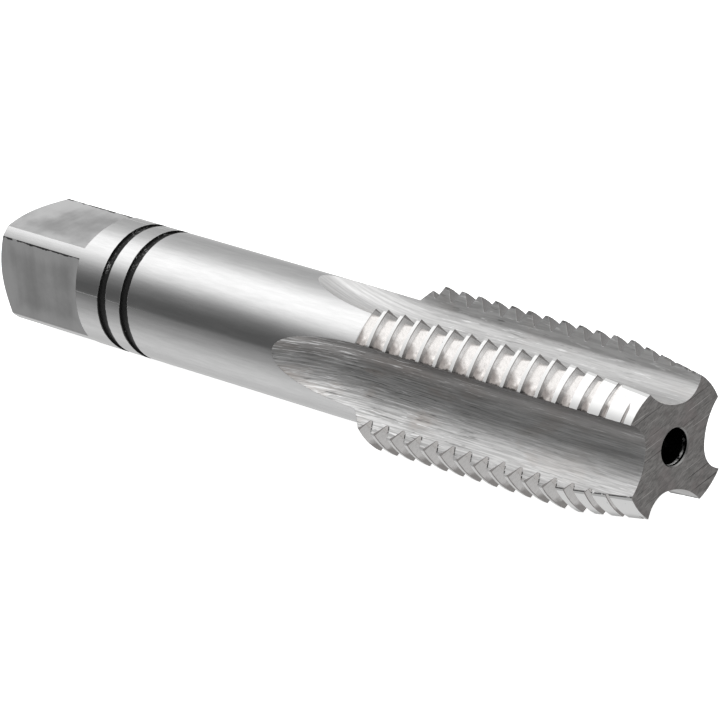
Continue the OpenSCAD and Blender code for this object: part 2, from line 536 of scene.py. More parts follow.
@dataclass(frozen=True)
class MilledFlute(Finish):
    """Floor and faces of the flutes, with long streaks along the axis, a brown cast in places, and painted shade under
    a land and beside cutting edges.
    """

    broad: Grain = Grain((70, 1500, 7), 4, 0.62, skew=0.2)
    thin: Grain = Grain((190, 6500, 7), 3, 0.7, shift=(0, 0, 3), skew=0.1)
    scratch: Grain = Grain((260, 5500, 7), 3, 0.7, shift=(0, 0, 11), skew=0.1)
    cloud: Grain = Grain((120, 330, 7), 4, 0.6, shift=(0, 0, 5), skew=0.4)
    torn_and_shadow: Grain = Grain((1700, 1700, 1700), 4, 0.7, shift=(2, 6, 1))
    depth: float = 0.001
    thin_share: float = 0.85
    grain_span: Span = (0.38, 0.62)
    gloss_span: Span = (0.3, 0.7)
    gloss_swing: Span = (-0.03, 0.03)

    # The flute that faces -Y is roughest, the others are calm in their run-outs, and all are calmer at the front
    front_flute: Span = (-3.4, -3.0, 1.0, 0.0)
    calm_runout: Span = (46, 56, 0.25, 0.95)
    calm_front: Span = (50, 66, 1.0, 0.5)
    streak_dark: tuple[float, float] = (0.84, 0.58)

    # Colours and patches, each by the pattern's height or the place
    cast: Triple = (0.50, 0.42, 0.37)
    cast_span: Span = (0.52, 0.68, 0.0, 0.45)
    # Painted shade under the land above the flute that faces -Y
    flute_painted_shade: Triple = (0.27, 0.255, 0.25)
    flute_painted_shade_ragged: tuple[float, float] = (1.2, -0.6)
    flute_painted_shade_height: Span = (0.3, 1.2, 0.0, 0.6)
    # Painted shade beside the cutting edges of the flutes that don't face -Y
    darker_tone: float = 0.58
    side_shade_edge: Span = (50, 60)
    side_shade_floor: Span = (78, 90, 1.0, 0.0)
    side_shade_along: Span = (46, 64, 0.35, 0.5)
    pale: float = 1.5
    pale_span: Span = (0.58, 0.66, 0.0, 0.9)
    pale_runout: Span = (42, 48, 0.06, 0.0)
    dark: float = 0.25
    dark_span: Span = (0.32, 0.42, 0.9, 0.0)

    # Marks at the thread: torn at the cutting edge, nicked beside each groove, and a burr on the lead. The torn edge
    # and the nicks are partly painted shadow
    mark_and_shadow: float = 0.08
    mark_deep: Span = (0.06, 0.3, 0.7, 0.0)
    mark_angle: Span = (52, 56)
    mark_torn: Span = (0.45, 0.55)
    nick_near: Span = (-0.02, 0.02)
    nick_far: Span = (0.1, 0.16, 1.0, 0.0)
    nick_deep: Span = (0.05, 0.2)
    nick_root: Span = (ROOT_R - 0.05, ROOT_R + 0.1)
    nick_torn: Span = (0.45, 0.53)
    heel_angle: Span = (38, 44, 1.0, 0.0)
    burr_deep: Span = (0.1, 0.22, 1.0, 0.0)
    burr_along: Span = (69, 71)
    burr_angle: Span = (38, 44, 0.95, 0.0)
    burr_torn: Span = (0.38, 0.46)

    def facing(self, bench: Bench) -> Socket:
        """1 on the flute that faces -Y, 0 on the others."""
        return bench.between(bench.point()[1], *self.front_flute)

    def painted_shade_under_land(self, bench: Bench, cloud: Socket) -> Socket:
        """Where painted shade darkens the flute that faces -Y, under the land above it.

        Args:
            bench: The material's wiring.
            cloud: A soft pattern that breaks the painted shade's border.

        Returns:
            The painted shade's strength.
        """
        height = bench.plus(bench.point()[2], bench.grown(cloud, *self.flute_painted_shade_ragged))
        return bench.times(self.facing(bench), bench.between(height, *self.flute_painted_shade_height))

    def painted_shade_beside_edge(self, bench: Bench) -> Socket:
        """Where painted shade darkens the other flutes, beside their cutting edges.

        Args:
            bench: The material's wiring.

        Returns:
            The strength of the painted shade.
        """
        angle = bench.quarter_angle()
        side = bench.times(bench.between(angle, *self.side_shade_edge), bench.between(angle, *self.side_shade_floor))
        other = bench.minus(1.0, self.facing(bench))
        return bench.times(side, bench.between(bench.along(), *self.side_shade_along), other)

    def marked_and_shadowed(self, bench: Bench) -> Socket:
        """Where the borders to the thread are torn, nicked or burred, drawn dark partly as painted shadow.

        Args:
            bench: The material's wiring.

        Returns:
            The marks' strength.
        """
        torn_and_shadow, deep, angle, radius = bench.grain(self.torn_and_shadow), bench.under_crest(), bench.quarter_angle(), bench.radius()
        mark_and_shadow = bench.times(
            bench.between(deep, *self.mark_deep),
            bench.between(angle, *self.mark_angle),
            bench.between(torn_and_shadow, *self.mark_torn),
        )
        wall = bench.grown(bench.minus(radius, ROOT_R), math.tan(math.radians(FLANK_LEAN)), ROOT_HALF)
        side = bench.minus(bench.from_groove(), wall)
        beside = bench.times(bench.between(side, *self.nick_near), bench.between(side, *self.nick_far))
        inside = bench.times(bench.between(deep, *self.nick_deep), bench.between(radius, *self.nick_root))
        heel = bench.times(bench.between(angle, *self.heel_angle), bench.between(torn_and_shadow, *self.nick_torn))
        rim = bench.times(bench.between(deep, *self.burr_deep), bench.between(bench.along(), *self.burr_along))
        burr_and_shadow = bench.times(rim, bench.between(angle, *self.burr_angle), bench.between(torn_and_shadow, *self.burr_torn))
        return bench.most(mark_and_shadow, bench.times(beside, inside, heel), burr_and_shadow)

    def detail(self, bench: Bench) -> None:
        """Add streaks along the axis in three sizes, the cast, the painted shade, and the marks at the thread, which
        are partly painted shadow.

        Args:
            bench: The material's wiring.
        """
        broad, thin, scratch, cloud = map(bench.streaks, (self.broad, self.thin, self.scratch, self.cloud))
        worn = bench.blend(self.facing(bench), bench.between(bench.along(), *self.calm_runout), 1.0)
        rough = bench.times(bench.between(bench.along(), *self.calm_front), worn)
        low = bench.mix(rough, *(self.shade(factor) for factor in self.streak_dark))
        grain = bench.blend(self.thin_share, broad, thin)
        skin = bench.mix(bench.between(grain, *self.grain_span), low, self.tone)
        skin = bench.mix(bench.times(bench.between(cloud, *self.cast_span), rough), skin, self.cast)
        # Painted shade beside the cutting edges of the other flutes
        skin = bench.mix(self.painted_shade_beside_edge(bench), skin, self.shade(self.darker_tone))
        # Painted shade under the land above the flute that faces -Y
        skin = bench.mix(self.painted_shade_under_land(bench, cloud), skin, self.flute_painted_shade)
        bright = bench.plus(scratch, bench.between(bench.along(), *self.pale_runout))
        skin = bench.mix(bench.times(bench.between(bright, *self.pale_span), rough), skin, self.shade(self.pale))
        skin = bench.mix(bench.times(bench.between(scratch, *self.dark_span), rough), skin, self.shade(self.dark))
        # Marks at the thread, partly painted shadow
        skin = bench.mix(self.marked_and_shadowed(bench), skin, self.shade(self.mark_and_shadow))
        bench.feed("Base Color", skin)
        bench.feed("Roughness", self.polish(bench, broad, self.gloss_span, self.gloss_swing))
        self.relief(bench, thin, self.depth)


@dataclass(frozen=True)
class ThreadFlank(Finish):
    """Ground side of a thread, with painted brown shade towards the cutting edge, a painted shadow line under the
    crest, a dark line at the heel, and a torn border that is partly the painted shadow of its burr.
    """

    blot: Grain = Grain((1300, 1300, 1300), 5, 0.7)
    grit: Grain = Grain((2600, 5200, 2600), 4, 0.65, turn=20, shift=(3, 3, 8), skew=0.6)
    grit_span: Span = (0.36, 0.56)
    grit_dark: float = 0.92
    depth: float = 0.0005
    gloss_span: Span = (0.3, 0.7)
    gloss_swing: Span = (-0.03, 0.08)

    # Painted brown shade, most on the side that faces -Y, near the cutting edge and under the crest
    flank_painted_shade: Triple = (0.225, 0.205, 0.195)
    flank_painted_shade_angle: Span = (40, 60)
    flank_painted_shade_deep: Span = (0.0, 0.8, 1.4, 0.7)
    flank_painted_shade_span: Span = (0.65, 1.35, 0.0)
    flank_painted_shade_side: Span = (-1, 1, 0.7, 0.2)

    # A painted shadow line under the crest, and a dark line along the heel, which leans over this many degrees for each
    # millimetre out
    line_ragged: float = -0.1
    line_span: Span = (-0.01, 0.06, 0.75, 0.0)
    heel: float = 30.3
    heel_lean: float = 2.26
    heel_ragged: float = -0.7
    heel_span: Span = (-0.25, 0.0, 0.6, 0.0)

    # Torn border at the cutting edge, on the land that faces -Y and up, drawn dark as the painted shadow of its burr
    # too
    torn_and_shadow: float = 0.08
    torn_and_shadow_ragged: float = 9.0
    torn_and_shadow_span: Span = (62.9, 63.9)
    torn_and_shadow_side: Span = (-1, 1, 0.85, 0.1)
    torn_and_shadow_height: Span = (-1, 1)

    def detail(self, bench: Bench) -> None:
        """Add the painted shade, the painted shadow line under the crest, the line along the heel, the torn border with
        its burr's painted shadow, and a fine grain.

        Args:
            bench: The material's wiring.
        """
        blot, angle, deep = bench.grain(self.blot), bench.quarter_angle(), bench.under_crest()
        _, y, z = bench.point()
        # Painted shade towards the cutting edge and under the crest, weaker on the side that faces +Y
        reach = bench.times(bench.between(angle, *self.flank_painted_shade_angle), bench.between(deep, *self.flank_painted_shade_deep))
        painted_shade_mask = bench.between(bench.plus(reach, blot), *self.flank_painted_shade_span, bench.between(y, *self.flank_painted_shade_side))
        # Painted shadow line just under the crest
        line = bench.between(bench.grown(blot, self.line_ragged, deep), *self.line_span)
        heel = bench.grown(bench.minus(bench.radius(), ROOT_R), self.heel_lean, self.heel)
        lip = bench.between(bench.grown(blot, self.heel_ragged, bench.minus(angle, heel)), *self.heel_span)
        # Torn border at the cutting edge, partly the painted shadow of its burr
        torn_and_shadow = bench.times(
            bench.between(bench.grown(blot, self.torn_and_shadow_ragged, angle), *self.torn_and_shadow_span),
            bench.between(y, *self.torn_and_shadow_side),
            bench.between(z, *self.torn_and_shadow_height),
        )
        grit = bench.between(bench.grain(self.grit), *self.grit_span)
        ground = bench.mix(grit, self.shade(self.grit_dark), self.tone)
        skin = bench.mix(bench.most(painted_shade_mask, line, lip), ground, self.flank_painted_shade)
        bench.feed("Base Color", bench.mix(torn_and_shadow, skin, self.shade(self.torn_and_shadow)))
        bench.feed("Roughness", self.polish(bench, blot, self.gloss_span, self.gloss_swing))
        self.relief(bench, blot, self.depth)


@dataclass(frozen=True)
class GroundCrest(Finish):
    """Narrow bright top of a thread, with dark specks, a broken line at its heel, and a torn end at its cutting edge
    that is partly the painted shadow of its burr.
    """

    blot: Grain = Grain((2600, 2600, 2600), 4, 0.6)
    speck_span: Span = (0.66, 0.72, 0.0, 0.7)
    broken: Grain = Grain((500, 500, 500), 3, 0.6, shift=(9, 1, 1))
    heel_ragged: float = -1.6
    heel_span: Span = (31.9, 32.5, 0.5, 0.0)
    torn_and_shadow: Grain = Grain((1300, 1300, 1300), 5, 0.7)
    torn_and_shadow_ragged: float = 7.0
    torn_and_shadow_span: Span = (62.4, 63.6, 0.0, 0.8)
    torn_and_shadow_height: Span = (-1, 1)
    lead_along: Span = (70, 72, 0.0, 0.6)
    lead_angle: Span = (49, 59)
    dark: float = 0.3
    depth: float = 0.0006

    def detail(self, bench: Bench) -> None:
        """Add specks, the line at the heel, the torn end above the axis with its burr's painted shadow, and dirt on the
        lead.

        Args:
            bench: The material's wiring.
        """
        blot, angle = bench.grain(self.blot), bench.quarter_angle()
        x, _, z = bench.point()
        speck = bench.between(blot, *self.speck_span)
        line = bench.between(bench.grown(bench.grain(self.broken), self.heel_ragged, angle), *self.heel_span)
        # Torn end at the cutting edge, partly the painted shadow of its burr
        end = bench.between(bench.grown(bench.grain(self.torn_and_shadow), self.torn_and_shadow_ragged, angle), *self.torn_and_shadow_span)
        end = bench.times(end, bench.between(z, *self.torn_and_shadow_height))
        lead = bench.times(bench.between(x, *self.lead_along), bench.between(angle, *self.lead_angle))
        worn = bench.most(speck, line, end, lead)
        bench.feed("Base Color", bench.mix(worn, self.tone, self.shade(self.dark)))
        self.relief(bench, blot, self.depth)


@dataclass(frozen=True)
class CutFace(Finish):
    """End face cut off with a grinding disc, which leaves straight scratches across it."""

    broad: Grain = Grain((100, 900, 2400), 5, 0.72, turn=-25, skew=0.4)
    thin: Grain = Grain((100, 1500, 8000), 3, 0.65, turn=-32, shift=(2, 2, 2), skew=0.2)
    thin_share: float = 0.45
    grain_span: Span = (0.38, 0.62)
    grain_tones: tuple[float, float] = (0.62, 1.08)
    depth: float = 0.006
    cloud: Grain = Grain((100, 350, 350), 4, 0.6, shift=(1, 7, 2))
    cast: Triple = (0.43, 0.385, 0.38)
    cast_span: Span = (0.48, 0.66, 0.0, 0.6)
    scratch: Grain = Grain((100, 130, 8000), 1, 0.5, turn=-16, shift=(5, 1, 2))
    dark: float = 0.2
    dark_span: Span = (0.67, 0.72, 0.0, 0.85)
    pale: float = 1.9
    pale_span: Span = (0.27, 0.32, 0.8, 0.0)

    def detail(self, bench: Bench) -> None:
        """Add scratches in nearly one direction, in three sizes, and a brown cast.

        Args:
            bench: The material's wiring.
        """
        grain = bench.blend(self.thin_share, bench.grain(self.broad), bench.grain(self.thin))
        scratch = bench.grain(self.scratch)
        skin = bench.mix(bench.between(grain, *self.grain_span), *map(self.shade, self.grain_tones))
        skin = bench.mix(bench.between(bench.grain(self.cloud), *self.cast_span), skin, self.cast)
        skin = bench.mix(bench.between(scratch, *self.dark_span), skin, self.shade(self.dark))
        skin = bench.mix(bench.between(scratch, *self.pale_span), skin, self.shade(self.pale))
        bench.feed("Base Color", skin)
        self.relief(bench, grain, self.depth)


@dataclass(frozen=True)
class DarkBore(Finish):
    """Drilled wall, dark with the smoke of the hardening, with a painted highlight on the edge of the front mouth and a
    painted glint a little inside it.
    """

    rings: Grain = Grain((4000, 300, 300), 2, 0.5)
    depth: float = 0.002
    # Painted highlight on the edge of the mouth
    painted_rim_highlight: Triple = (0.36, 0.355, 0.35)
    painted_rim_highlight_deep: Span = (0.1, 0.16, 1.0, 0.0)
    # Pale and not metal: a painted glint inside the mouth
    painted_glint: Triple = (0.92, 0.92, 0.91)
    patches: Grain = Grain((1500, 1500, 1500), 4, 0.65, shift=(4, 4, 1))
    patch_span: Span = (0.34, 0.5)
    painted_glint_from: Span = (0.3, 0.4)
    painted_glint_to: Span = (0.5, 0.7, 1.0, 0.0)
    painted_glint_low: Span = (-1.1, -0.6, 1.0, 0.22)
    painted_glint_high: Span = (0.0, 0.7, 1.0, 0.0)

    def detail(self, bench: Bench) -> None:
        """Add a few tool rings, the painted highlight on the edge, and the painted glint, strongest low in the mouth.

        Args:
            bench: The material's wiring.
        """
        x, _, z = bench.point()
        deep = bench.minus(LENGTH, x)
        # Painted glint a little inside the mouth, strongest low down, broken into patches
        painted_glint = bench.times(
            bench.between(deep, *self.painted_glint_from),
            bench.between(deep, *self.painted_glint_to),
            bench.between(z, *self.painted_glint_low),
            bench.between(z, *self.painted_glint_high),
            bench.between(bench.grain(self.patches), *self.patch_span),
        )
        # Painted highlight on the edge of the mouth
        wall = bench.mix(bench.between(deep, *self.painted_rim_highlight_deep), self.tone, self.painted_rim_highlight)
        bench.feed("Base Color", bench.mix(painted_glint, wall, self.painted_glint))
        bench.feed("Metallic", bench.minus(1.0, painted_glint))
        self.relief(bench, bench.grain(self.rings), self.depth)


@dataclass(frozen=True)
class RingPaint(Finish):
    """Black paint wiped into a ring groove, thin and grey in places."""

    sheen: float = 0.15
    worn: Triple = (0.30, 0.30, 0.30)
    blot: Grain = Grain((1400, 500, 500), 5, 0.7)
    speck: Grain = Grain((5200, 5200, 5200), 3, 0.6, shift=(4, 0, 2))
    speck_span: Span = (0.5, 0.62)
    upper: Span = (-1, 5, -0.12, 0.06)
    thin_span: Span = (0.54, 0.64)
    depth: float = 0.01

    def detail(self, bench: Bench) -> None:
        """Add worn patches and specks, most of them above the axis.

        Args:
            bench: The material's wiring.
        """
        bench.feed("Metallic", 0.0)
        bench.feed("Specular IOR Level", self.sheen)
        blot = bench.grain(self.blot)
        level = bench.plus(blot, bench.between(bench.point()[2], *self.upper))
        specks = bench.between(bench.grain(self.speck), *self.speck_span)
        thin = bench.times(bench.between(level, *self.thin_span), specks)
        bench.feed("Base Color", bench.mix(thin, self.tone, self.worn))
        self.relief(bench, blot, self.depth)


class Region(Enum):
    """Surfaces of the tap that have a finish of their own."""

    SHANK = auto()
    FLAT = auto()
    SHOULDER = auto()
    REAR = auto()
    RING = auto()
    FLUTE = auto()
    FLANK = auto()
    CREST = auto()
    FACE = auto()
    BORE = auto()


FINISHES: dict[Region, Finish] = {
    Region.SHANK: GroundShank("ground_shank", (0.79, 0.79, 0.79), 0.14),
    Region.FLAT: SquareFlat("square_flat", (0.68, 0.68, 0.68), 0.4),
    Region.SHOULDER: SquareFlat("square_shoulder", (0.75, 0.75, 0.75), 0.38),
    Region.REAR: CutFace("rear_face", (0.55, 0.55, 0.54), 0.4),
    Region.RING: RingPaint("ring_black", (0.012, 0.012, 0.012), 0.35, 0.03),
    Region.FLUTE: MilledFlute("milled_flute", (0.74, 0.737, 0.733), 0.4, 0.08),
    Region.FLANK: ThreadFlank("thread_flank", (0.87, 0.856, 0.846), 0.14, 0.0),
    Region.CREST: GroundCrest("thread_crest", (0.83, 0.83, 0.825), 0.36, 0.0),
    Region.FACE: CutFace("front_face", (0.48, 0.465, 0.455), 0.42, 0.08),
    Region.BORE: DarkBore("front_bore", (0.22, 0.22, 0.22), 0.2, 0.03),
}


def spoke(angle: float) -> Vector:
    """The way out from the axis at an angle, in degrees from +Y towards +Z."""
    return Vector((0, math.cos(math.radians(angle)), math.sin(math.radians(angle))))


@dataclass(frozen=True)
class Surface(ABC):
    """One surface of the tap as it was machined. Sizes in millimetres and degrees."""

    region: Region

    @abstractmethod
    def gap(self, at: Vector) -> float:
        """How far a point is from the surface.

        Args:
            at: The point.

        Returns:
            The distance, never below zero.
        """

    @abstractmethod
    def normal(self, at: Vector) -> Vector:
        """Which way the surface looks near a point.

        Args:
            at: The point.

        Returns:
            The outward normal, of length one.
        """


@dataclass(frozen=True)
class FlatCut(Surface):
    """A flat face through a point."""

    point: Vector
    way: Vector

    def gap(self, at: Vector) -> float:
        """Distance from the plane."""
        return abs((at - self.point).dot(self.way))

    def normal(self, at: Vector) -> Vector:
        """The plane's own normal."""
        return self.way


@dataclass(frozen=True)
class Turned(Surface):
    """A cylinder, cone or ring round an axis along X. Its start and end each give a place on X and a radius."""

    start: tuple[float, float]
    end: tuple[float, float]
    inside: bool = False
    centre: Vector = Vector((0, 0, 0))

    def gap(self, at: Vector) -> float:
        """Distance from the slanted line that makes the surface, and from its ends.

        Args:
            at: The point.

        Returns:
            The distance.
        """
        (x0, r0), (x1, r1) = self.start, self.end
        off = at - self.centre
        r = math.hypot(off.y, off.z)
        length = math.hypot(x1 - x0, r1 - r0)
        share = ((at.x - x0) * (x1 - x0) + (r - r0) * (r1 - r0)) / length**2
        beyond = max(-share, share - 1, 0) * length
        return math.hypot(beyond, ((at.x - x0) * (r1 - r0) - (r - r0) * (x1 - x0)) / length)

    def normal(self, at: Vector) -> Vector:
        """Square to the line, away from the metal.

        Args:
            at: The point.

        Returns:
            The outward normal.
        """
        (x0, r0), (x1, r1) = self.start, self.end
        off = at - self.centre
        out = Vector((0, off.y, off.z)).normalized()
        way = (out * (x1 - x0) - Vector((r1 - r0, 0, 0))).normalized()
        return -way if self.inside else way


@dataclass(frozen=True)
class GrooveWall(Surface):
    """One side of the thread grooves on a land, or their bottom. Each groove is tilted to the helix.

    Attributes:
        land: Angle of the land's middle.
        first: Place of the land's first groove on X.
        side: 1 for the side that looks to the front, -1 for the one that looks to the rear, 0 for the bottom.
        helix: Tilt of the grooves.
    """

    land: float
    first: float
    side: int
    helix: float = 2.5483

    def local(self, at: Vector) -> tuple[Vector, Vector, float]:
        """Where a point lies in its groove.

        Args:
            at: The point.

        Returns:
            The groove's axis, the spoke from it to the point, and the place along it.
        """
        tilt = math.radians(self.helix)
        axis = Vector((math.cos(tilt), 0, 0)) - math.sin(tilt) * spoke(self.land + QUARTER)
        turn = round((at.x - self.first) / PITCH)
        off = at - Vector((self.first + turn * PITCH, 0, 0))
        along = off.dot(axis)
        return axis, off - axis * along, along

    def gap(self, at: Vector) -> float:
        """Distance from the slanted side, or from the bottom.

        Args:
            at: The point.

        Returns:
            The distance.
        """
        astray = (math.degrees(math.atan2(at.z, at.y)) - self.land + 180) % 360 - 180
        if abs(astray) > QUARTER / 2:
            return OUT_OF_REACH
        _, out, along = self.local(at)
        deep = out.length - ROOT_R
        if not self.side:
            return math.hypot(deep, max(abs(along) - ROOT_HALF, 0))
        lean = math.radians(FLANK_LEAN)
        place = -self.side * along - ROOT_HALF
        return abs(place * math.cos(lean) - deep * math.sin(lean))

    def normal(self, at: Vector) -> Vector:
        """Square to the side of the tilted groove.

        Args:
            at: The point.

        Returns:
            The outward normal.
        """
        axis, out, _ = self.local(at)
        if not self.side:
            return out.normalized()
        lean = math.radians(FLANK_LEAN)
        return out.normalized() * math.sin(lean) + axis * (self.side * math.cos(lean))


@dataclass(frozen=True)
class FluteWall(Surface):
    """Floor arc or straight rake face of a flute. Behind its full depth it follows the milling wheel.

    Attributes:
        angle: Angle of the flute's middle.
        arc_r: Radius of the floor arc, or 0 for the rake face.
        edge_side: Whether the arc lies on the side of the cutting edge.
        core_r: How deep the floor is, from the axis.
        floor_offset: How far the deepest line lies to the side of the flute's middle.
        touch: Where the rake face starts, out from the axis and to the side.
        edge: Where the rake face ends, in the cutting edge.
        flute_x: Where the full depth ends.
        wheel_r: Radius of the milling wheel.
        below: How far under the floor a point may lie.
        past_arc: How far an arc may reach past the deepest line.
        past_rake: How far the rake face may reach past its start.
    """

    angle: float
    arc_r: float = 0.0
    edge_side: bool = False
    core_r: float = 3.7
    floor_offset: float = 0.95
    touch: tuple[float, float] = (5.155, -3.184)
    edge: tuple[float, float] = (6.712, -3.875)
    flute_x: float = 49.4
    wheel_r: float = 34.0
    below: float = 0.5
    past_arc: float = 0.05
    past_rake: float = 0.1

    def local(self, at: Vector) -> tuple[float, float, Vector]:
        """Where a point lies in the flute's section.

        Args:
            at: The point.

        Returns:
            Its place out from the axis and to the side, and the way that counts as out there.
        """
        out, side = spoke(self.angle), spoke(self.angle + QUARTER)
        u, v = at.dot(out), at.dot(side)
        if at.x >= self.flute_x:
            return u, v, out
        hub = self.core_r + self.wheel_r
        reach = math.hypot(hub - u, at.x - self.flute_x)
        way = (out * (hub - u) + Vector((self.flute_x - at.x, 0, 0))) / reach
        return hub - reach, v, way

    def gap(self, at: Vector) -> float:
        """Distance from the arc or from the rake line, within its own stretch.

        Args:
            at: The point.

        Returns:
            The distance.
        """
        if at.dot(spoke(self.angle)) < self.core_r - self.below:
            return OUT_OF_REACH
        u, v, _ = self.local(at)
        if self.arc_r:
            place = v + self.floor_offset
            past = place if self.edge_side else -place
            far = math.hypot(u - self.core_r - self.arc_r, place)
            return OUT_OF_REACH if past > self.past_arc else abs(far - self.arc_r)
        (u0, v0), (u1, v1) = self.touch, self.edge
        off = abs((u - u0) * (v1 - v0) - (v - v0) * (u1 - u0)) / math.hypot(u1 - u0, v1 - v0)
        return off + max(v - v0 - self.past_rake, 0)

    def normal(self, at: Vector) -> Vector:
        """Towards the middle of the arc, or square to the rake line.

        Args:
            at: The point.

        Returns:
            The outward normal.
        """
        u, v, way = self.local(at)
        side = spoke(self.angle + QUARTER)
        if self.arc_r:
            return (way * (self.core_r + self.arc_r - u) - side * (v + self.floor_offset)).normalized()
        (u0, v0), (u1, v1) = self.touch, self.edge
        return (way * (v0 - v1) + side * (u1 - u0)).normalized()


@dataclass(frozen=True)
class TapBody:
    """The machined body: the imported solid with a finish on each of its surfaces. Sizes in millimetres.

    A pair gives a place on X and a radius, except for the slope behind the thread, which gives two places.
    """

    shank_r: float = 6.0
    flat_r: float = 4.6
    square_len: float = 11.3
    shoulder_angle: float = 72.0
    bevel_r: float = 4.3546
    bevel_end: float = 0.95
    ring_r: float = 5.8
    slope: tuple[float, float] = (46.75, 48.5)
    first_groove: float = 49.75
    first_land: float = 315.0
    hook_r: float = 2.45
    heel_r: float = 5.6
    bore_r: float = 1.65
    bore_edge: float = 0.12
    bore_bottom: float = 71.7
    bore_tip: tuple[float, float] = (70.8, 0.15)
    seat_r: float = 1.7
    seat_end: float = 1.5589
    pilot_r: float = 0.8
    pilot_end: float = 4.0
    pilot_tip: tuple[float, float] = (4.3906, 0.15)

    # Doubles closer than this are merged. A face's surface is looked for within reach, by distance and by turn
    merge: float = 0.002
    reach: float = 0.3
    gap_weight: float = 4.0
    turn_weight: float = 6.0
    misfit: float = 0.6

    def build(self, node: bpy.types.Object) -> bpy.types.Object:
        """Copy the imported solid, close its mesh and dress it.

        Args:
            node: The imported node's object.

        Returns:
            The finished piece.
        """
        mesh = node.data.copy()
        mesh.name = PIECE
        mesh.materials.clear()
        piece = bpy.data.objects.new(PIECE, mesh)
        bpy.context.scene.collection.objects.link(piece)
        self.close(piece)
        self.dress(mesh)
        return piece

    def close(self, piece: bpy.types.Object) -> None:
        """Merge the loose triangles into one closed mesh.

        Args:
            piece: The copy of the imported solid.
        """
        bpy.ops.object.select_all(action="DESELECT")
        piece.select_set(True)
        bpy.context.view_layer.objects.active = piece
        bpy.ops.object.mode_set(mode="EDIT")
        bpy.ops.mesh.select_all(action="SELECT")
        bpy.ops.mesh.remove_doubles(threshold=self.merge * MM)
        bpy.ops.mesh.customdata_custom_splitnormals_clear()
        bpy.ops.object.mode_set(mode="OBJECT")
        bpy.ops.object.shade_smooth()

    def dress(self, mesh: bpy.types.Mesh) -> None:
        """Give each face its finish, and each of its corners the normal of the surface that was machined there.

        Args:
            mesh: The closed mesh.
        """
        for region in Region:
            mesh.materials.append(FINISHES[region].make())
        slots = {region: i for i, region in enumerate(Region)}
        surfaces = self.surfaces()
        normals = [Vector((0, 0, 1))] * len(mesh.loops)
        strays = 0
        for face in mesh.polygons:
            surface, stray = self.owner(surfaces, face.center / MM, face.normal)
            face.material_index = slots[surface.region]
            strays += stray
            for loop in face.loop_indices:
                at = mesh.vertices[mesh.loops[loop].vertex_index].co / MM
                normals[loop] = face.normal if stray else surface.normal(at)
        mesh.normals_split_custom_set(normals)
        LOG.info("surfaces: %d, faces off all of them: %d", len(surfaces), strays)

    def owner(self, surfaces: list[Surface], at: Vector, way: Vector) -> tuple[Surface, bool]:
        """Find the surface that a face belongs to.

        Args:
            surfaces: All surfaces of the tap.
            at: The face's middle.
            way: The face's normal.

        Returns:
            The surface, and whether the face fits none of them well.
        """
        best, score = surfaces[0], math.inf
        for surface in surfaces:
            gap = surface.gap(at)
            if gap > self.reach:
                continue
            cost = gap * self.gap_weight + (1 - surface.normal(at).dot(way)) * self.turn_weight
            if cost < score:
                best, score = surface, cost
        return best, score > self.misfit

    def outside(self) -> list[Surface]:
        """List what was cut or turned round the whole axis.

        Returns:
            The end faces, and the blank from the rear to the front.
        """
        (foot, top), shank = self.slope, self.shank_r
        return [
            FlatCut(Region.REAR, Vector((0, 0, 0)), Vector((-1, 0, 0))),
            FlatCut(Region.FACE, Vector((LENGTH, 0, 0)), Vector((1, 0, 0))),
            Turned(Region.SHANK, (0, self.bevel_r), (self.bevel_end, shank)),
            Turned(Region.SHANK, (self.bevel_end, shank), (foot, shank)),
            Turned(Region.FLANK, (foot, shank), (top, CREST_R)),
            Turned(Region.CREST, (top, CREST_R), (LEAD_START, CREST_R)),
        ]

    def bored(self) -> list[Surface]:
        """List what was bored into the end faces.

        Returns:
            The walls of the front hole and of the rear hole.
        """
        bottom, edge, wall, pilot = self.bore_bottom, LENGTH - self.bore_edge, self.bore_r, self.pilot_r
        runs = (
            ((bottom, wall), (edge, wall)),
            ((edge, wall), (LENGTH, wall + self.bore_edge)),
            (self.bore_tip, (bottom, wall)),
            ((0, self.seat_r), (self.seat_end, pilot)),
            ((self.seat_end, pilot), (self.pilot_end, pilot)),
            ((self.pilot_end, pilot), self.pilot_tip),
        )
        return [Turned(Region.BORE, start, end, True) for start, end in runs]

    def ring_groove(self, middle: float) -> list[Surface]:
        """List the walls of a marking ring.

        Args:
            middle: The ring's place on X.

        Returns:
            The floor and the two sides.
        """
        low, high, deep, shank = middle - RING_HALF, middle + RING_HALF, self.ring_r, self.shank_r
        return [
            Turned(Region.RING, (low, deep), (high, deep)),
            Turned(Region.RING, (low, deep), (low, shank), True),
            Turned(Region.RING, (high, deep), (high, shank)),
        ]

    def quarter(self, count: int) -> list[Surface]:
        """List what is cut again at each quarter turn.

        Args:
            count: The quarter, from 0.

        Returns:
            One flat with its shoulder, the lead and the thread of one land, and one flute.
        """
        lean, turn = math.radians(self.shoulder_angle), QUARTER * count
        way = spoke(SQUARE_TURN + turn)
        tip = way * self.flat_r + Vector((self.square_len, 0, 0))
        back = (Vector((-math.sin(lean), 0, 0)) + way * math.cos(lean)).normalized()
        land = self.first_land + turn
        shift = spoke(land + QUARTER) * LEAD_RELIEF
        groove = self.first_groove + PITCH * count / LANDS
        return [
            FlatCut(Region.FLAT, way * self.flat_r, way),
            FlatCut(Region.SHOULDER, tip, back),
            Turned(Region.CREST, (LEAD_START, CREST_R), (LENGTH, LEAD_END_R), False, shift),
            *(GrooveWall(Region.FLANK, land, groove, side) for side in (1, -1, 0)),
            FluteWall(Region.FLUTE, turn, self.hook_r, True),
            FluteWall(Region.FLUTE, turn, self.heel_r),
            FluteWall(Region.FLUTE, turn),
        ]

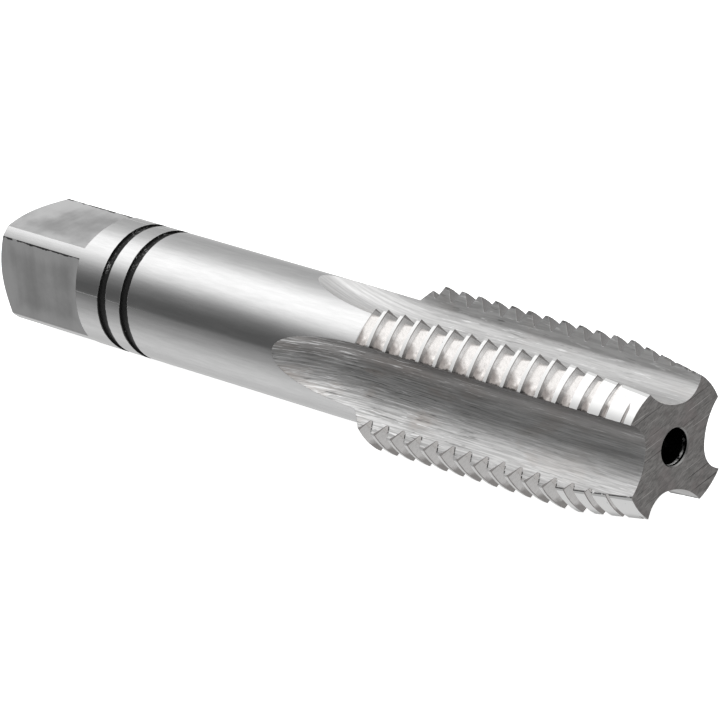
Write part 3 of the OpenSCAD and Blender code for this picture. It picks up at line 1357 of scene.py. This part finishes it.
    def surfaces(self) -> list[Surface]:
        """List every surface of the tap.

        Returns:
            The surfaces that were turned, bored, and then milled and ground.
        """
        found = self.outside() + self.bored()
        for middle in RINGS:
            found += self.ring_groove(middle)
        for count in range(LANDS):
            found += self.quarter(count)
        return found


@dataclass(frozen=True)
class Panel:
    """A soft light panel round the tap. It faces the middle of the tap. Sizes in metres and degrees."""

    name: str
    azimuth: float
    elevation: float
    distance: float
    width: float
    height: float
    radiance: float

    def hang(self, centre: Vector) -> None:
        """Hang the panel.

        Args:
            centre: The point that it faces.
        """
        a, e = math.radians(self.azimuth), math.radians(self.elevation)
        way = Vector((math.cos(a) * math.cos(e), math.sin(a) * math.cos(e), math.sin(e)))
        lamp = bpy.data.lights.new(self.name, "AREA")
        lamp.shape = "RECTANGLE"
        lamp.size, lamp.size_y = self.width, self.height
        lamp.energy = self.radiance * math.pi * self.width * self.height
        rig = bpy.data.objects.new(self.name, lamp)
        rig.location = centre + way * self.distance
        rig.rotation_euler = way.to_track_quat("Z", "Y").to_euler()
        rig.visible_camera = False
        bpy.context.scene.collection.objects.link(rig)
        LOG.info("light %s", self.name)


@dataclass(frozen=True)
class Dome:
    """Light from all round, by its direction. Directions have length one, and a curve gives light by their height.

    Attributes:
        near: Curve at the rear end's side, before the tap.
        far: Curve at the rear end's side, behind the tap.
        front: Curve at the front end's side.
        glow: How much the near light gains across the tap, by X.
        glow_low: Where that gain starts, by height.
        glow_high: Where that gain ends, by height.
        far_gain: How much brighter the far light is straight behind the tap, by X.
        near_to_far: Where near changes to far, by Y.
        rear_to_front: Where both change to the front curve, by X.
    """

    near: Stops = (
        (-1, 1.0), (-0.74, 0.9), (-0.53, 0.58), (-0.32, 0.36), (-0.2, 0.25), (-0.15, 0.15), (-0.07, 0.14), (0.06, 0.14),
        (0.19, 0.2), (0.31, 0.3), (0.42, 0.53), (0.52, 0.92), (0.605, 1.3), (0.72, 1.65), (1, 1.7),
    )
    far: Stops = (
        (-1, 0.74), (-0.6, 0.74), (-0.3, 0.86), (-0.19, 0.8), (-0.06, 0.68), (0.07, 0.6), (0.2, 0.57), (0.32, 0.59),
        (0.53, 0.67), (0.61, 0.78), (0.67, 0.97), (0.72, 1.15), (0.78, 1.4), (1, 1.6),
    )
    front: Stops = ((-1, 0.72), (-0.8, 0.66), (-0.32, 0.45), (0, 0.36), (0.3, 0.3), (0.45, 0.38), (0.8, 1.1), (1, 1.6))
    glow: Span = (-0.5, -0.25, 0.0, 1.6)
    glow_low: Span = (0.0, 0.2)
    glow_high: Span = (0.64, 0.78, 1.0, 0.0)
    far_gain: Span = (-0.62, -0.48, 1.0, 1.45)
    near_to_far: Span = (-0.15, 0.35)
    rear_to_front: Span = (-0.35, 0.1)

    def light(self) -> None:
        """Make the dome the scene's world."""
        world = bpy.data.worlds.new("dome")
        bpy.context.scene.world = world
        world.use_nodes = True
        bench = Wiring(world.node_tree)
        x, y, z = bench.add("SeparateXYZ", bench.add("TexCoord").outputs["Generated"]).outputs
        band = (bench.between(z, *self.glow_low), bench.between(z, *self.glow_high))
        gain = bench.plus(bench.times(bench.between(x, *self.glow), *band), 1.0)
        near = bench.times(bench.curve(z, self.near), gain)
        far = bench.times(bench.curve(z, self.far), bench.between(x, *self.far_gain))
        rear = bench.blend(bench.between(y, *self.near_to_far), near, far)
        total = bench.blend(bench.between(x, *self.rear_to_front), rear, bench.curve(z, self.front))
        sky = bench.add("Background", None, total)
        bench.add("OutputWorld", sky.outputs[0])


@dataclass(frozen=True)
class Studio:
    """Light, floor, backdrop and camera.

    The floor's sizes are in metres, and the round backdrop's radius is a share of half the floor. The camera's place
    is in degrees and in millimetres from the front end face, its frame in pixels, and its clip range in metres.
    """

    panel: Panel = Panel("panel_right", azimuth=5, elevation=20.5, distance=0.6, width=0.18, height=0.12, radiance=0.62)
    dome: Dome = Dome()
    floor_half: float = 1.5
    wall_share: float = 0.98
    wall_faces: int = 96
    pale: Triple = (0.95, 0.95, 0.95)
    pale_gloss: float = 0.9
    pale_glow: float = 0.85
    azimuth: float = 45.0156
    elevation: float = 18.5618
    roll: float = -0.9085
    focal_px: float = 6212.437
    frame_px: float = 720.0
    sensor: float = 36.0
    shift_right: float = -26.5982
    shift_up: float = 7.3644
    distance: float = 524.403
    clip: tuple[float, float] = (0.01, 10.0)

    def pale_paint(self) -> bpy.types.Material:
        """Make the plain pale material.

        Returns:
            The material of floor and backdrop.
        """
        bench = Bench("pale_floor")
        bench.feed("Base Color", (*self.pale, 1.0))
        bench.feed("Roughness", self.pale_gloss)
        bench.feed("Emission Color", (1.0, 1.0, 1.0, 1.0))
        bench.feed("Emission Strength", self.pale_glow)
        return bench.material

    def surround(self, height: float) -> None:
        """Lay the floor, and put up the backdrop, which only the camera sees.

        Args:
            height: The lowest point of the tap, in metres.
        """
        paint, half = self.pale_paint(), self.floor_half
        bpy.ops.mesh.primitive_plane_add(size=2 * half, location=(0, 0, height))
        floor = bpy.context.object
        floor.name = "floor"
        bpy.ops.mesh.primitive_cylinder_add(
            vertices=self.wall_faces,
            radius=half * self.wall_share,
            depth=2 * half,
            end_fill_type="NOTHING",
            location=(0, 0, height + half),
        )
        wall = bpy.context.object
        wall.name = "backdrop"
        wall.visible_diffuse = wall.visible_shadow = False
        for thing in (floor, wall):
            thing.data.materials.append(paint)
            thing.visible_glossy = False
            thing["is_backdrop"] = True

    def camera(self) -> None:
        """Set up the camera at the photograph's viewing angle."""
        az, el, roll = (math.radians(angle) for angle in (self.azimuth, self.elevation, self.roll))
        back = Vector((math.sin(az) * math.cos(el), -math.cos(az) * math.cos(el), math.sin(el)))
        right = Vector((math.cos(az), math.sin(az), 0))
        up = back.cross(right)
        side = math.cos(roll) * right + math.sin(roll) * up
        top = -math.sin(roll) * right + math.cos(roll) * up
        spot = Vector((LENGTH, 0, 0)) + self.shift_right * side + self.shift_up * top + self.distance * back
        lens = bpy.data.cameras.new("camera")
        lens.sensor_width = self.sensor
        lens.lens = self.focal_px / self.frame_px * self.sensor
        lens.clip_start, lens.clip_end = self.clip
        eye = bpy.data.objects.new("camera", lens)
        turn = Matrix((side, top, back)).transposed().to_4x4()
        eye.matrix_world = Matrix.Translation(spot * MM) @ turn
        bpy.context.scene.collection.objects.link(eye)
        bpy.context.scene.camera = eye


def corners(box: tuple[Vector, Vector]) -> list[list[float]]:
    """A box's lowest and highest corner as lists of numbers."""
    return [[float(v) for v in corner] for corner in box]


def main() -> None:
    """Build the tap, the light, the floor and the camera."""
    logging.basicConfig(level=logging.INFO, format="%(name)s: %(message)s")
    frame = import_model()
    bpy.ops.object.select_all(action="DESELECT")
    cad_box = corners(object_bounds())
    node = frame["nodes"][NODE]

    body = TapBody().build(node)
    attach(body, BODY)
    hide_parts(NODE)
    LOG.info("piece %s: %d faces", body.name, len(body.data.polygons))

    low, high = (Vector(corner) for corner in cad_box)
    studio = Studio()
    studio.dome.light()
    studio.panel.hang((low + high) / 2)
    studio.surround(low.z)
    studio.camera()
    bpy.context.scene.view_settings.view_transform = "Standard"


if __name__ == "__main__":
    main()
